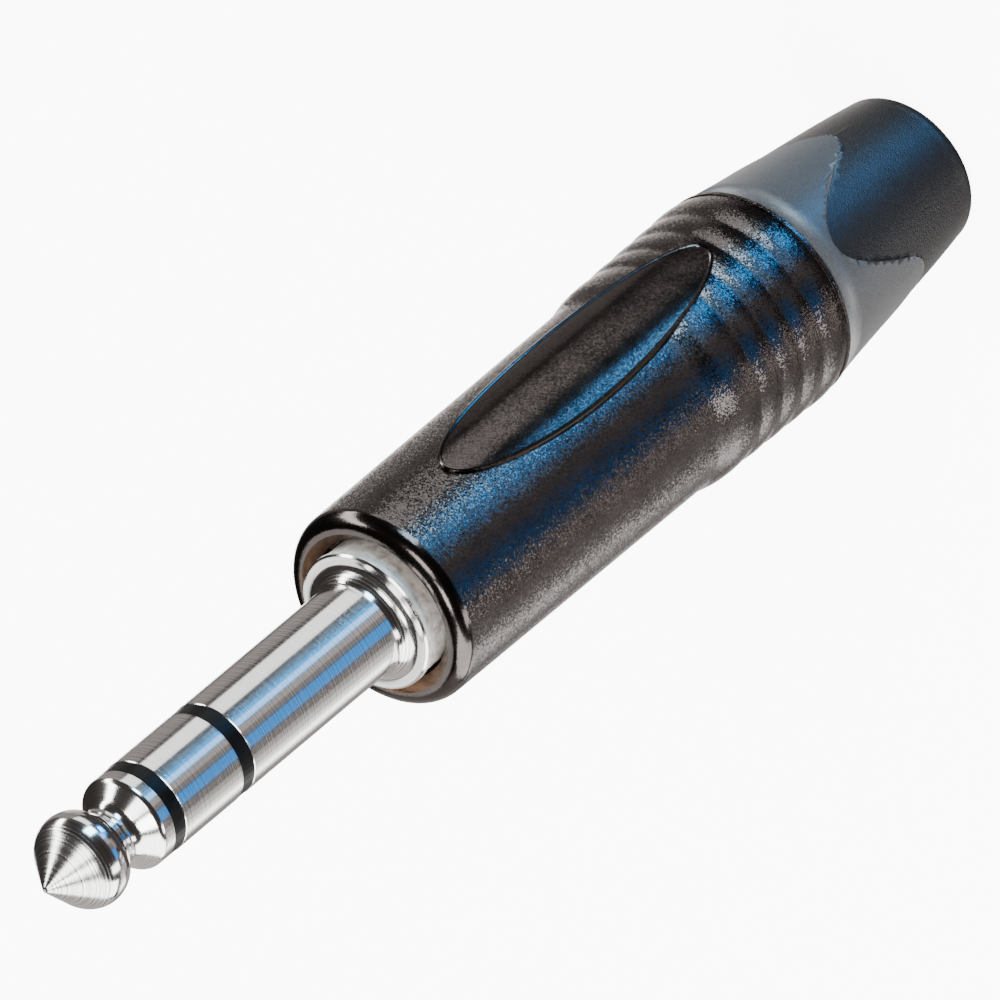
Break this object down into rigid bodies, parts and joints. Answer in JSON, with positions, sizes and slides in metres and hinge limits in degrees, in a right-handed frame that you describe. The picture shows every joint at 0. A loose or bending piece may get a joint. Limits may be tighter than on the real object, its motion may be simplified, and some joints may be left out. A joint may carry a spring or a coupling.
{
  "type": "stereo jack plug",
  "caption": "Straight stereo jack plug: contact finger with tip, ring and sleeve, slim shell, and a screwed bushing with a soft boot.",
  "frame": {"origin": "centre of the boot's flat end face, on the plug's axis", "axes": "+Z along the plug from the boot to the tip; one oval panel faces 55 degrees to the right of -Y"},
  "size_m": [0.0148, 0.0148, 0.086],
  "materials": {
    "nickel": "nickel-plated turned brass, fine turning marks",
    "black_insulator": "black moulded nylon",
    "white_insulator": "natural nylon",
    "tinned_tag": "tinned brass strip",
    "black_shell": "black chrome over die-cast zinc, fine grain",
    "clear_liner": "thin natural nylon tube",
    "white_chuck": "white acetal",
    "grey_bushing": "grey matt nylon, fine spark texture",
    "black_boot": "soft black polyurethane, matt"
  },
  "bodies": {
    "bushing_body": {"bushing": "grey_bushing", "boot": "black_boot"},
    "chuck_body": {"chuck": "white_chuck"},
    "plug_body": {"tip_contact": "nickel", "tip_spacer": "black_insulator", "inner_tube": "white_insulator", "ring_contact": "nickel", "ring_spacer": "black_insulator", "outer_tube": "white_insulator", "sleeve_contact": "nickel", "ground_tag": "tinned_tag", "insert_block": "black_insulator", "ring_tag": "tinned_tag", "tag_washer": "white_insulator", "tip_tag": "tinned_tag", "rivet_washer": "nickel", "shell": "black_shell", "insulating_sleeve": "clear_liner"}
  },
  "joints": [
    {"name": "shell_turn", "type": "hinge", "parent": "bushing_body", "child": "chuck_body", "pos_m": [0, 0, 0.018], "axis": [0, 0, 1], "range_deg": [0, 1836]},
    {"name": "shell_rise", "type": "slide", "parent": "chuck_body", "child": "plug_body", "axis": [0, 0, 1], "range_m": [0, 0.005]}
  ],
  "couplings": [
    {"joint": "shell_turn", "follows": "shell_rise", "rad_per_m": 6283.2}
  ]
}
